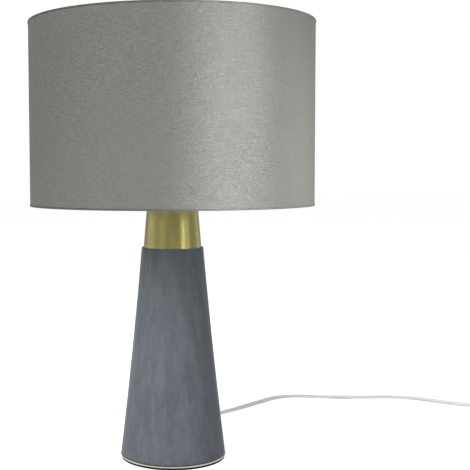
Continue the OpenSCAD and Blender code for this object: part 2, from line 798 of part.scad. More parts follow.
module plug_pins() {
    front = relief_l + plug_l;
    color("#c9c9c4") at_plug() for (y = [-1, 1]) translate([front, y * pin_pitch / 2, 0]) rotate([0, 90, 0]) {
        translate([0, 0, -7.8]) cylinder(h = 7.8 + sleeve_l, r = 1.5, $fn = 48);
        translate([0, 0, sleeve_l]) cylinder(h = pin_l - sleeve_l - 1, r = pin_r, $fn = 48);
        translate([0, 0, pin_l - 1]) cylinder(h = 1, r1 = pin_r, r2 = 1, $fn = 48);
    }
}

module plug_sleeves() {
    front = relief_l + plug_l;
    color("#202124") at_plug() for (y = [-1, 1]) translate([front, y * pin_pitch / 2, 0]) rotate([0, 90, 0])
        ring(1.9, 1.5 + gap, 0, sleeve_l - gap);
}

base_pad();
bottom_plate();
plate_screws();
trim_ring();
weight_disc();
core_shell();
velvet_sleeve();
neck_cone();
threaded_rod();
rod_nuts();
rod_washers();
outlet_bush();
lead_clamp();
clamp_screws();
inner_lead();
live_core();
neutral_core();
holder_cap();
cap_lock_screw();
holder_insert();
terminal_screws();
centre_contact();
socket_shell();
holder_skirt();
shade_collar();
fitter_ring();
back_arm();
left_arm();
right_arm();
bottom_ring();
top_ring();
shade_liner();
shade_fabric();
bottom_hem();
top_hem();
bulb_contact();
bulb_insulator();
bulb_screw_shell();
bulb_housing();
driver_board();
led_board();
bulb_globe();
supply_lead();
switch_base();
switch_cover();
switch_rocker();
switch_contacts();
switch_screws();
coil_lead();
lead_coil();
plug_lead();
plug_body();
plug_pins();
plug_sleeves();
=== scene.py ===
"""Table lamp with a velvet cone, a brass neck and a drum shade, on a pale studio floor.

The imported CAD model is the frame. Lengths are metres, and angles are degrees unless a name says otherwise.
"""

import json
import math

import bpy
from mathutils import Matrix, Vector, noise


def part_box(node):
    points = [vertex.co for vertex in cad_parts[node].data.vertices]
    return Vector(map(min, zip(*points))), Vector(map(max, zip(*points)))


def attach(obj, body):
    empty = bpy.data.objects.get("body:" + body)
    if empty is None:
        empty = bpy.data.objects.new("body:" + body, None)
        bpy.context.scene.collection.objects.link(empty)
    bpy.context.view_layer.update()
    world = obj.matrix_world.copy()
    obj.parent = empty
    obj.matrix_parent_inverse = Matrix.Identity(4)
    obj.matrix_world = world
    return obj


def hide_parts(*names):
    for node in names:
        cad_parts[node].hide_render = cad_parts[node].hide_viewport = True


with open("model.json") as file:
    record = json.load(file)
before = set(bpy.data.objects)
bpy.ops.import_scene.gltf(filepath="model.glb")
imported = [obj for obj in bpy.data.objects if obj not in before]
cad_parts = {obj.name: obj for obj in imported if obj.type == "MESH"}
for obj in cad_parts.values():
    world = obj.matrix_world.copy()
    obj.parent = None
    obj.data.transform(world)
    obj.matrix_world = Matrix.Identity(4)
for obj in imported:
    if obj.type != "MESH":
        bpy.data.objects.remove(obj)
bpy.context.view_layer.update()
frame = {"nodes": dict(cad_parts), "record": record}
nodes = frame["nodes"]
MM = 0.001

# ---- camera ----

CAMERA_AT = (0, -1.0356, 0.3079)
CAMERA_DOWN = 3.85
CAMERA_ROLL = -0.18
CAMERA_LENS = 74.64
CAMERA_SHIFT_X = 0.133

camera = bpy.data.objects.new("camera", bpy.data.cameras.new("camera"))
bpy.context.scene.collection.objects.link(camera)
camera.data.sensor_width = 36
camera.data.lens = CAMERA_LENS
camera.data.shift_x = CAMERA_SHIFT_X
camera.matrix_world = (
    Matrix.Translation(CAMERA_AT)
    @ Matrix.Rotation(math.radians(90 - CAMERA_DOWN), 4, "X")
    @ Matrix.Rotation(math.radians(CAMERA_ROLL), 4, "Z")
)
bpy.context.scene.camera = camera

# ---- meshes ----


def piece(name, points, faces, body, uvs):
    """A smooth mesh that rides on a body. uvs holds a pair in metres for each point."""
    mesh = bpy.data.meshes.new(name)
    mesh.from_pydata([tuple(p) for p in points], [], faces)
    mesh.shade_smooth()
    layer = mesh.uv_layers.new(name="cloth")
    for loop in mesh.loops:
        layer.data[loop.index].uv = uvs[loop.vertex_index]
    made = bpy.data.objects.new(name, mesh)
    bpy.context.scene.collection.objects.link(made)
    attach(made, body)
    return made


def bridge(rows, closed_rows=True, closed_column=False):
    """The faces between rows of points that are numbered one row after another."""
    count, last = len(rows[0]), len(rows)
    faces = []
    for i in range(last if closed_column else last - 1):
        for k in range(count if closed_rows else count - 1):
            j, n = (k + 1) % count, (i + 1) % last
            faces.append((i * count + k, i * count + j, n * count + j, n * count + k))
    return faces


def crisp(made, angle):
    """Keeps the edges that are sharper than angle."""
    made.data.set_sharp_from_angle(angle=math.radians(angle))


# ---- the lead ----

LEAD_W = 5.6 * MM
LEAD_T = 3.6 * MM
LIE = 0.1 * MM
EDGE_R = LEAD_T / 2
FLAT = (LEAD_W - LEAD_T) / 2
GROOVE = 0.12 * MM
EDGE_STEPS = 8
SPAN_STEPS = 6

# x, y and height above lying on the table in millimetres, and the roll of the flat section.
SUPPLY_ROUTE = [
    (0, 80, 10.1, 0), (2, 97, 8.4, 0), (8, 115, 4, 0), (18, 132, 0.8, 10), (36, 151, 0, 25),
    (60, 171, 0, 45), (87, 197, 0, 65), (111, 223, 0, 75), (132, 246, 0, 65), (152, 259, 0, 30),
    (176, 262, 0, 5), (200, 257, 0, 15), (226, 253, 0, 40), (253, 254, 0, 15), (280, 256, 0, 0),
    (303, 253, 0, 15), (323, 244, 0, 35), (342, 231, 0, 50), (362, 217, 0, 60), (384, 204, 1, 35),
    (396, 197, 2.4, 10), (407, 191, 3.6, 0), (412, 188, 3.6, 0),
]
COIL_LEAD_ROUTE = [
    (454, 164, 3.6, 0), (459, 161, 3.6, 0), (469.5, 155.1, 2.8, 20), (480, 149.3, 1.2, 50),
    (489.5, 144, 0.2, 80), (498.35, 139.05, 0, 90),
]
PLUG_LEAD_ROUTE = [
    (498.35, 78.95, 5.7, 90), (488, 73, 5.7, 80), (477.6, 66.9, 4.6, 45), (467.5, 59.6, 2.6, 15),
    (459.8, 50.6, 1, 0), (455, 40.5, 0.1, 0), (452.8, 31, 0, 0), (452.2, 25, 0.7, 0), (452, 19.5, 2.5, 0),
    (452, 14, 4.4, 0), (452, 9.5, 5.1, 0), (452, 8, 5.1, 0),
]
COIL_AT = (481 * MM, 109 * MM)
COIL_FROM = 60
COIL_TURN = 1920
# The radius and height of the six turns of the coil, and where each change to the next one ends.
COLUMN_STEP = LEAD_T + 0.1 * MM
LOW_TURN = LIE + LEAD_W / 2
HIGH_TURN = LOW_TURN + LEAD_W + 0.1 * MM
INNER, MIDDLE, OUTER = (31 * MM + k * COLUMN_STEP for k in (-1, 0, 1))
COIL_TURNS = [
    (OUTER, LOW_TURN), (MIDDLE, LOW_TURN), (INNER, LOW_TURN),
    (INNER, HIGH_TURN), (MIDDLE, HIGH_TURN), (OUTER, HIGH_TURN),
]
COIL_CHANGES = [360, 675, 990, 1305, 1620]
COIL_CHANGE = 45


def eased(points):
    """A smooth curve through the points, SPAN_STEPS to each span."""
    last, out = len(points) - 1, []
    for i in range(last):
        a, b, c, d = points[max(i - 1, 0)], points[i], points[i + 1], points[min(i + 2, last)]
        for s in range(SPAN_STEPS):
            t = s / SPAN_STEPS
            out.append(tuple(
                0.5 * (2 * q + (r - p) * t + (2 * p - 5 * q + 4 * r - e) * t * t
                       + (3 * q - p - 3 * r + e) * t * t * t)
                for p, q, r, e in zip(a, b, c, d)
            ))
    return out + [points[-1]]


def lying(roll):
    """The height of the lead's centre line when its rolled section rests on the table."""
    return LIE + EDGE_R + FLAT * abs(math.sin(math.radians(roll)))


def along(route):
    """The centre line of a route, as (point, roll)."""
    placed = [(x * MM, y * MM, lying(roll) + up * MM, roll) for x, y, up, roll in route]
    return [(Vector(p[:3]), p[3]) for p in eased(placed)]


def wound():
    """The centre line of the coil, from its bottom outer turn to its top outer turn."""
    line = []
    for turned in range(10, COIL_TURN, 10):
        r, z = COIL_TURNS[0]
        for (next_r, next_z), end in zip(COIL_TURNS[1:], COIL_CHANGES):
            t = min(max((turned - end + COIL_CHANGE) / COIL_CHANGE, 0), 1)
            t = t * t * (3 - 2 * t)
            r, z = r + (next_r - r) * t, z + (next_z - z) * t
        a = math.radians(COIL_FROM - turned)
        line.append((Vector((COIL_AT[0] + r * math.cos(a), COIL_AT[1] + r * math.sin(a), z)), 90))
    return line


def lead(name, line, *replaced):
    """A flat two-core lead with rounded edges and the faint groove between its cores."""
    section = []
    for side in (1, -1):
        for step in range(EDGE_STEPS + 1):
            a = math.radians(180 / EDGE_STEPS * step - 90 * side)
            section.append((side * FLAT + EDGE_R * math.cos(a), EDGE_R * math.sin(a)))
        section.append((0, side * (EDGE_R - GROOVE)))
    points, uvs, far = [], [], 0
    for i, (at, roll) in enumerate(line):
        ahead = (line[min(i + 1, len(line) - 1)][0] - line[max(i - 1, 0)][0]).normalized()
        across = Vector((ahead.y, -ahead.x, 0)).normalized()
        up = across.cross(ahead)
        s, c = math.sin(math.radians(roll)), math.cos(math.radians(roll))
        far += (at - line[max(i - 1, 0)][0]).length
        for k, (u, v) in enumerate(section):
            points.append(at + across * (u * c - v * s) + up * (u * s + v * c))
            uvs.append((far, k * MM))
    sides = len(section)
    faces = bridge([section] * len(line))
    faces.append(tuple(reversed(range(sides))))
    faces.append(tuple(range(len(points) - sides, len(points))))
    made = piece(name, points, faces, "base", uvs)
    crisp(made, 50)
    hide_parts(*replaced)
    return made


def coil_tie():
    """A soft strap, wrapped once round the wound lead and pressed shut on its outside."""
    low, high = INNER - EDGE_R - 0.5 * MM, OUTER + EDGE_R + 0.5 * MM
    top = HIGH_TURN + LEAD_W / 2 + 0.4 * MM
    bend, width, thick = 1.6 * MM, 7 * MM, 0.45 * MM
    corners = [
        (high - bend, bend + thick), (high - bend, top - bend),
        (low + bend, top - bend), (low + bend, bend + thick),
    ]
    ring = []
    for (x, z), start in zip(corners, (-90, 0, 90, 180)):
        for step in range(6):
            a = math.radians(start + 18 * step)
            ring.append((x + bend * math.cos(a), z + bend * math.sin(a), math.cos(a), math.sin(a)))
    rows = []
    for y, inset in ((-0.5, 1), (-0.5, 0), (-0.44, 0), (0.44, 0), (0.5, 0), (0.5, 1)):
        row = []
        for x, z, nx, nz in ring:
            height = max(z - inset * thick * nz, 0.02 * MM)
            row.append((COIL_AT[0] + x - inset * thick * nx, COIL_AT[1] + y * width, height))
        rows.append(row)
    points = [p for row in rows for p in row]
    uvs = [(k * MM, p[1]) for row in rows for k, p in enumerate(row)]
    tie = piece("coil_tie", points, bridge(rows, closed_column=True), "base", uvs)
    crisp(tie, 50)
    # The strap's free end, lapped over its outside.
    tab = []
    for y in (-0.5, 0.5):
        for x, z in ((0.05, 3.0), (0.5, 3.2), (0.75, 9.4), (0.5, 9.8), (0.05, 9.9)):
            tab.append((COIL_AT[0] + high + x * MM, COIL_AT[1] + y * width * 0.92, z * MM))
    lap = piece("coil_tie_end", tab, bridge([tab[:5], tab[5:]]) + [(4, 3, 2, 1, 0), (5, 6, 7, 8, 9)],
                "base", [(p[2], p[1]) for p in tab])
    crisp(lap, 30)
    return [tie, lap]


supply_line = along(SUPPLY_ROUTE)
tail_line = along(COIL_LEAD_ROUTE) + wound() + along(PLUG_LEAD_ROUTE)
supply = lead("supply_cord", supply_line, "supply_lead")
tail = lead("plug_cord", tail_line, "coil_lead", "lead_coil", "plug_lead")
ties = coil_tie()

# ---- the velvet over the cone ----

SLEEVE_LOW, SLEEVE_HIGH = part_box("velvet_sleeve")
CONE_TOP_R = 32.8 * MM
CONE_FOOT_R = 56.1 * MM
CONE_BOW = 1 * MM
NECK_HOLE_R = 30.9 * MM
CONE_TOP_Z = SLEEVE_HIGH[2]
CONE_FOOT_Z = SLEEVE_LOW[2]
VELVET_T = 1.2 * MM
BACK = 90
OUTLET_Z = 12 * MM
OUTLET_HOLE_R = 5 * MM
FOOT_HOLE_R = 50 * MM
SIDE_ROWS = 72
# How far from the seam the columns of points beside it stand, in millimetres.
BESIDE_SEAM = (0.25, 0.5, 0.8, 1.2, 1.8, 2.6, 3.6)


def cone_r(z):
    t = (CONE_TOP_Z - z) / (CONE_TOP_Z - CONE_FOOT_Z)
    return CONE_TOP_R + (CONE_FOOT_R - CONE_TOP_R) * t - 4 * CONE_BOW * t * (1 - t)


def corner(x, z, r, start, end, steps):
    """Points of a quarter-round edge, as (radius, height)."""
    return [
        (x + r * math.cos(math.radians(start + (end - start) * s / steps)),
         z + r * math.sin(math.radians(start + (end - start) * s / steps)))
        for s in range(steps + 1)
    ]


def round_angles(count, seam_r):
    """Angles all round in radians, from the seam at the back, with more of them beside it."""
    spare = BESIDE_SEAM[-1] * MM / seam_r
    beside = [n * MM / seam_r for n in BESIDE_SEAM]
    even = [spare + (2 * math.pi - 2 * spare) * k / count for k in range(1, count)]
    offsets = [0] + beside + even + [2 * math.pi - b for b in reversed(beside)]
    return [math.radians(BACK) + o for o in offsets]


def velvet_sleeve():
    foot_edge, top_edge = 1.6 * MM, 0.6 * MM
    side_low = CONE_FOOT_Z + foot_edge
    side_high = CONE_TOP_Z - top_edge
    side = [side_low + (side_high - side_low) * k / SIDE_ROWS for k in range(1, SIDE_ROWS)]
    outer = [(FOOT_HOLE_R, CONE_FOOT_Z), (FOOT_HOLE_R + 3 * MM, CONE_FOOT_Z)]
    outer += corner(cone_r(side_low) - foot_edge, side_low, foot_edge, -90, -8, 6)
    outer += [(cone_r(z), z) for z in side]
    outer += corner(cone_r(side_high) - top_edge, side_high, top_edge, 6, 90, 5)
    outer += [(NECK_HOLE_R, CONE_TOP_Z), (NECK_HOLE_R, CONE_TOP_Z - VELVET_T)]
    inner = [(cone_r(z) - VELVET_T, z) for z in reversed(side)]
    fold_z = CONE_FOOT_Z + VELVET_T
    outline = outer + inner + [(cone_r(fold_z) - VELVET_T, fold_z), (FOOT_HOLE_R, fold_z)]
    angles = round_angles(200, CONE_FOOT_R)
    points, uvs, far = [], [], 0
    for i, (r, z) in enumerate(outline):
        far += math.dist(outline[i], outline[max(i - 1, 0)])
        for a in angles:
            turned = (a - math.radians(BACK)) % (2 * math.pi)
            from_seam = min(turned, 2 * math.pi - turned) * r
            on_side = len(outer) > i and CONE_FOOT_Z + MM < z < CONE_TOP_Z - 0.3 * MM
            relief = 0
            if on_side:
                # A puckered butt seam, and the slight unevenness of cloth that is glued on by hand.
                relief -= 0.5 * MM * math.exp(-(from_seam / (0.5 * MM)) ** 2)
                beside = math.exp(-((from_seam - 1.6 * MM) / (0.9 * MM)) ** 2)
                relief += 0.16 * MM * beside * (0.6 + 0.4 * math.sin(z / (1.1 * MM)))
                at = Vector((math.cos(a) * r, math.sin(a) * r, z)) * 26
                relief += 0.12 * MM * noise.noise(at)
            points.append(((r + relief) * math.cos(a), (r + relief) * math.sin(a), z))
            uvs.append((turned * r, far))
    rows = [angles] * len(outline)
    faces = []
    for face in bridge(rows, closed_column=True):
        middle = sum((Vector(points[k]) for k in face), Vector()) / 4
        if middle.y < 0 or math.hypot(middle.x, middle.z - OUTLET_Z) > OUTLET_HOLE_R:
            faces.append(face)
    made = piece("velvet_cover", points, faces, "base", uvs)
    crisp(made, 60)
    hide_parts("velvet_sleeve")
    return made


velvet_cover = velvet_sleeve()

# ---- the drum shade ----

SHADE_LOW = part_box("bottom_hem")[0][2]
SHADE_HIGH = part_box("top_hem")[1][2]
SHADE_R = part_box("bottom_hem")[1][0]
LINER_R = 149.2 * MM
LINER_IN = 148.5 * MM
HEM_H = 1.8 * MM
FABRIC_T = 0.35 * MM
LAP = 9 * MM


def drum_fabric():
    """One strip of fabric, wrapped once round the liner and lapped at the back."""
    turn = 2 * math.pi + LAP / LINER_R
    around, heights = 420, 44
    lap_angle = LAP / LINER_R
    steps = [turn * k / around for k in range(around + 1)]
    steps += [lap_angle * k / 8 for k in range(1, 8)] + [turn - lap_angle * k / 8 for k in range(1, 8)]
    steps = sorted(set(steps))
    rows, uvs = [], []
    for side in (1, 0):
        for k in range(heights + 1):
            share = (k if side else heights - k) / heights
            z = SHADE_LOW + 0.4 * MM + (SHADE_HIGH - SHADE_LOW - 0.8 * MM) * share
            row = []
            for s in steps:
                a = math.radians(BACK) + s
                # The outer end lies over the first one, and its folded edge stands a little proud.
                over = min(max((s - turn + lap_angle * 1.25) / (lap_angle * 0.25), 0), 1)
                r = LINER_R + 0.02 * MM + over * (FABRIC_T + 0.02 * MM)
                if s > turn - 1.2 * MM / LINER_R:
                    r += 0.08 * MM
                wave = noise.noise(Vector((math.cos(a) * 4.2, math.sin(a) * 4.2, z * 30)))
                free = math.sin(math.pi * share)
                r += side * FABRIC_T + 0.05 * MM * free * wave * side
                row.append((r * math.cos(a), r * math.sin(a), z))
                uvs.append((s * LINER_R, z))
            rows.append(row)
    points = [p for row in rows for p in row]
    faces = bridge(rows, closed_rows=False, closed_column=True)
    count = len(steps)
    for edge in (0, count - 1):
        for k in range(heights):
            a, b = k * count + edge, (k + 1) * count + edge
            c, d = (2 * heights - k) * count + edge, (2 * heights + 1 - k) * count + edge
            faces.append((a, b, c, d) if edge else (d, c, b, a))
    made = piece("drum_fabric", points, faces, "shade", uvs)
    crisp(made, 60)
    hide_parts("shade_fabric")
    return made


def rolled_hem(name, rim, up, replaced):
    """The fabric's edge, folded over the rim onto the liner's inside and rubbed down by hand."""
    outside, inside = SHADE_R - 0.02 * MM, LINER_IN - 0.4 * MM
    fold = 0.42 * MM
    profile = [(outside - FABRIC_T, HEM_H), (outside - 0.06 * MM, HEM_H), (outside, HEM_H - 0.3 * MM)]
    profile += corner(outside - 1.1 * fold, fold, 1.1 * fold, 0, -90, 5)
    profile += corner(inside + fold, fold, fold, -90, -180, 5)
    profile += [(inside, HEM_H - 0.2 * MM), (inside + 0.3 * MM, HEM_H)]
    rows, uvs, far = [], [], 0
    around = 360
    for i, (r, h) in enumerate(profile):
        far += math.dist(profile[i], profile[max(i - 1, 0)])
        row = []
        for k in range(around):
            a = math.radians(BACK) + 2 * math.pi * k / around
            # The free edges wander a little, as a glued fold does.
            wander = 0
            if h > HEM_H - 0.5 * MM:
                wander = noise.noise(Vector((math.cos(a) * 9, math.sin(a) * 9, rim * 50)))
            height = min(max(h + 0.22 * MM * wander, 0), HEM_H + 0.2 * MM)
            row.append((r * math.cos(a), r * math.sin(a), rim - up * height))
            uvs.append((2 * math.pi * k / around * SHADE_R, far))
        rows.append(row)
    points = [p for row in rows for p in row]
    faces = bridge(rows, closed_column=True)
    if up < 0:
        faces = [tuple(reversed(f)) for f in faces]
    made = piece(name, points, faces, "shade", uvs)
    crisp(made, 70)
    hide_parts(replaced)
    return made


fabric = drum_fabric()
hems = [
    rolled_hem("hem_below", SHADE_LOW, -1, "bottom_hem"),
    rolled_hem("hem_above", SHADE_HIGH, 1, "top_hem"),
]

# ---- materials ----


class Finish:
    """A Principled material whose colour, roughness and relief come from procedural textures.

    Sizes are those of one feature of a texture, in metres, as one number or one for each axis.
    """

    def __init__(self, name, roughness, **sockets):
        self.material = bpy.data.materials.new(name)
        self.material.use_nodes = True
        self.tree = self.material.node_tree
        self.shader = self.tree.nodes["Principled BSDF"]
        self.shader.inputs["Roughness"].default_value = roughness
        for socket, value in sockets.items():
            self.shader.inputs[socket.replace("_", " ")].default_value = value
        self.height = None

    def node(self, kind, settings=(), **inputs):
        made = self.tree.nodes.new(kind)
        for key, value in dict(settings).items():
            setattr(made, key, value)
        for key, value in inputs.items():
            self.feed(made.inputs[key.replace("_", " ")], value)
        return made

    def feed(self, socket, value):
        if isinstance(value, bpy.types.NodeSocket):
            self.tree.links.new(value, socket)
        else:
            socket.default_value = value

    def place(self, size, cloth=False):
        """Coordinates in which one feature of that size is one unit."""
        sizes = (size,) * 3 if isinstance(size, (int, float)) else size
        if cloth:
            start = self.node("ShaderNodeUVMap", {"uv_map": "cloth"}).outputs["UV"]
        else:
            start = self.node("ShaderNodeTexCoord").outputs["Object"]
        return self.node("ShaderNodeMapping", Vector=start, Scale=[1 / s for s in sizes]).outputs["Vector"]

    def grain(self, size, detail, rough=0.5, cloth=False):
        made = self.node("ShaderNodeTexNoise", Vector=self.place(size, cloth), Scale=1, Detail=detail)
        made.inputs["Roughness"].default_value = rough
        return made.outputs["Fac"]

    def cells(self, size):
        return self.node("ShaderNodeTexVoronoi", Vector=self.place(size), Scale=1).outputs["Distance"]

    def threads(self, pitch, axis):
        """Ridges of threads across the cloth's first (X) or second (Y) direction."""
        # A wave texture's period is 2 pi / 20 of a unit at a scale of 1.
        return self.node(
            "ShaderNodeTexWave", {"bands_direction": axis},
            Vector=self.place(pitch, cloth=True), Scale=2 * math.pi / 20, Distortion=0.6, Detail=1,
        ).outputs["Fac"]

    def math(self, operation, a, b):
        made = self.node("ShaderNodeMath", {"operation": operation})
        self.feed(made.inputs[0], a)
        self.feed(made.inputs[1], b)
        return made.outputs[0]

    def between(self, field, low, high, start=0.3, end=0.7):
        """low where the field is at start, and high where it is at end."""
        made = self.node("ShaderNodeMapRange", Value=field)
        for socket, value in zip(("From Min", "From Max", "To Min", "To Max"), (start, end, low, high)):
            made.inputs[socket].default_value = value
        return made.outputs["Result"]

    def mix(self, field, first, second):
        made = self.node("ShaderNodeMix", {"data_type": "RGBA"})
        self.feed(made.inputs["Factor"], field)
        for key, value in (("A", first), ("B", second)):
            socket = [s for s in made.inputs if s.name == key and s.type == "RGBA"][0]
            self.feed(socket, value if isinstance(value, bpy.types.NodeSocket) else (*value, 1))
        return [s for s in made.outputs if s.type == "RGBA"][0]

    def shades(self, colour, *fields):
        """The colour, made lighter and darker by each (field, amount)."""
        shade = None
        for field, amount in fields:
            step = self.between(field, 1 - amount, 1 + amount)
            shade = step if shade is None else self.math("MULTIPLY", shade, step)
        low, high = [c * 0.5 for c in colour], [c * 1.5 for c in colour]
        return self.mix(self.between(shade, 0, 1, 0.5, 1.5), low, high)

    def paint(self, colour):
        self.feed(self.shader.inputs["Base Color"], colour)

    def roughen(self, field, low, high):
        self.feed(self.shader.inputs["Roughness"], self.between(field, low, high))

    def relief(self, field, height, strength):
        """Adds bumps of that height in metres."""
        made = self.node("ShaderNodeBump", Height=field, Distance=height, Strength=strength)
        if self.height is not None:
            self.feed(made.inputs["Normal"], self.height)
        self.height = made.outputs["Normal"]
        self.feed(self.shader.inputs["Normal"], self.height)


def plastic(name, colour, roughness, spark=0.9 * MM, bumps=0.01 * MM, **sockets):
    """Moulded plastic: a faint cloudiness, a fine spark-eroded skin and slightly uneven gloss."""
    m = Finish(name, roughness, **sockets)
    cloud, skin = m.grain(18 * MM, 3), m.grain(spark, 3, 0.6)
    m.paint(m.shades(colour, (cloud, 0.03), (skin, 0.02)))
    m.roughen(m.grain(6 * MM, 4, 0.6), roughness - 0.05, roughness + 0.07)
    m.relief(skin, bumps, 0.35)
    return m.material


def metal(name, colour, roughness, brush=(6 * MM, 6 * MM, 0.25 * MM), streak=0.05, wear=0.04, **sockets):
    """Metal with fine brush marks, a slow change of tarnish and rubbed patches."""
    m = Finish(name, roughness, Metallic=1.0, **sockets)
    marks, tarnish = m.grain(brush, 3, 0.6), m.grain(14 * MM, 4, 0.55)
    m.paint(m.shades(colour, (marks, streak), (tarnish, wear)))
    m.roughen(m.math("ADD", m.math("MULTIPLY", marks, 0.6), m.math("MULTIPLY", tarnish, 0.4)),
              roughness - 0.06, roughness + 0.08)
    m.relief(marks, 0.01 * MM, 0.3)
    return m.material


def velvet(name):
    """Short pile: a soft sheen at grazing angles, brushed blotches and the tips of the pile."""
    m = Finish(name, 0.85, Sheen_Weight=0.7, Sheen_Roughness=0.35, Sheen_Tint=(0.74, 0.78, 0.84, 1),
               Specular_IOR_Level=0.1)
    stroke = m.grain((9 * MM, 9 * MM, 34 * MM), 4, 0.6)
    nap = m.grain((2.2 * MM, 2.2 * MM, 6.5 * MM), 3, 0.65)
    tips = m.grain(0.7 * MM, 2, 0.7)
    m.paint(m.shades((0.143, 0.159, 0.174), (stroke, 0.16), (nap, 0.08), (tips, 0.1)))
    m.relief(nap, 0.2 * MM, 0.25)
    m.relief(tips, 0.25 * MM, 0.4)
    return m.material


def satin(name, colour, edge=1.0):
    """Plain woven satin over a stiff liner: threads both ways, slubs and a soft, uneven gloss.

    edge darkens the whole colour, as painted shade for a folded rim.
    """
    m = Finish(name, 0.42, IOR=2.15, Specular_IOR_Level=0.7, Sheen_Weight=0.05, Sheen_Roughness=0.3,
               Sheen_Tint=(0.9, 0.9, 0.86, 1))
    weft, warp = m.threads(0.62 * MM, "Y"), m.threads(0.5 * MM, "X")
    slub_across = m.grain((7 * MM, 0.9 * MM, 1), 3, 0.6, cloth=True)
    slub_down = m.grain((0.8 * MM, 9 * MM, 1), 3, 0.6, cloth=True)
    cloud = m.grain(28 * MM, 3)
    # tone is the colour times edge: below 1 it is painted shade, not a darker cloth.
    tone = [c * edge for c in colour]
    slubs = ((slub_across, 0.28), (slub_down, 0.18))
    m.paint(m.shades(tone, (weft, 0.1), (warp, 0.08), *slubs, (cloud, 0.03)))
    m.roughen(slub_across, 0.3, 0.54)
    m.relief(weft, 0.09 * MM, 0.5)
    m.relief(warp, 0.07 * MM, 0.5)
    m.relief(slub_across, 0.31 * MM, 0.65)
    m.relief(slub_down, 0.23 * MM, 0.55)
    return m.material


def brushed_neck(name):
    """Spun brass with a satin lacquer: fine lines round the cone and streaks of tone up it."""
    m = Finish(name, 0.22, Metallic=1.0, Anisotropic=0.3)
    lines = m.grain((40 * MM, 40 * MM, 0.22 * MM), 3, 0.7)
    streaks = m.grain((2.6 * MM, 2.6 * MM, 60 * MM), 4, 0.6)
    tarnish = m.grain(16 * MM, 4, 0.55)
    m.paint(m.shades((0.62, 0.565, 0.215), (lines, 0.03), (streaks, 0.1), (tarnish, 0.05)))
    uneven = m.math("ADD", m.math("MULTIPLY", lines, 0.5), m.math("MULTIPLY", streaks, 0.5))
    m.roughen(uneven, 0.15, 0.28)
    m.relief(lines, 0.01 * MM, 0.35)
    return m.material


def cast_iron(name):
    m = Finish(name, 0.6, Metallic=0.7)
    sand, pits = m.grain(1.2 * MM, 5, 0.7), m.cells(2.4 * MM)
    rust = m.between(m.grain(11 * MM, 4, 0.6), 0, 0.5, 0.5, 0.75)
    m.paint(m.mix(rust, (0.11, 0.11, 0.12), (0.16, 0.08, 0.045)))
    m.roughen(sand, 0.5, 0.75)
    m.relief(sand, 0.2 * MM, 0.5)
    m.relief(pits, 0.15 * MM, 0.3)
    return m.material


def foam(name):
    """The soft black pad: closed cells with a dusty edge."""
    m = Finish(name, 0.9, Specular_IOR_Level=0.2)
    pores, dust = m.cells(0.6 * MM), m.grain(7 * MM, 4, 0.6)
    m.paint(m.shades((0.02, 0.02, 0.018), (pores, 0.25), (dust, 0.3)))
    m.relief(pores, 0.2 * MM, 0.6)
    return m.material


def pvc(name, colour):
    """Extruded sheath: a faint cloudiness, small scuffs and a soft gloss."""
    m = Finish(name, 0.4, Subsurface_Weight=0.06, Subsurface_Scale=0.002, Coat_Weight=0.12,
               Coat_Roughness=0.35)
    scuff, cloud = m.grain(1.6 * MM, 4, 0.7), m.grain(22 * MM, 3)
    m.paint(m.shades(colour, (scuff, 0.025), (cloud, 0.035)))
    m.roughen(scuff, 0.32, 0.5)
    m.relief(scuff, 0.02 * MM, 0.4)
    return m.material


def board(name):
    """Green solder mask with copper tracks under it."""
    m = Finish(name, 0.35, Coat_Weight=0.3)
    tracks = m.node("ShaderNodeTexBrick", Vector=m.place(5 * MM), Scale=1, Mortar_Size=0.06).outputs["Fac"]
    m.paint(m.mix(tracks, (0.03, 0.16, 0.07), (0.08, 0.30, 0.12)))
    m.roughen(m.grain(2 * MM, 3), 0.28, 0.42)
    m.relief(tracks, 0.05 * MM, 0.4)
    return m.material


def opal(name):
    """Frosted opal shell of the bulb."""
    m = Finish(name, 0.42, Subsurface_Weight=0.4, Subsurface_Scale=0.004, Coat_Weight=0.2,
               Coat_Roughness=0.3)
    frost, cloud = m.grain(0.5 * MM, 3, 0.7), m.grain(24 * MM, 2)
    m.paint(m.shades((0.88, 0.88, 0.85), (frost, 0.015), (cloud, 0.02)))
    m.roughen(frost, 0.36, 0.5)
    m.relief(frost, 0.02 * MM, 0.3)
    return m.material


def strap(name):
    """Woven hook-and-loop tape of the coil's tie."""
    m = Finish(name, 0.8, Sheen_Weight=0.3, Sheen_Roughness=0.5)
    loops, fuzz = m.cells(0.8 * MM), m.grain(0.5 * MM, 3, 0.7)
    m.paint(m.shades((0.05, 0.05, 0.055), (loops, 0.3), (fuzz, 0.25)))
    m.relief(loops, 0.2 * MM, 0.6)
    return m.material


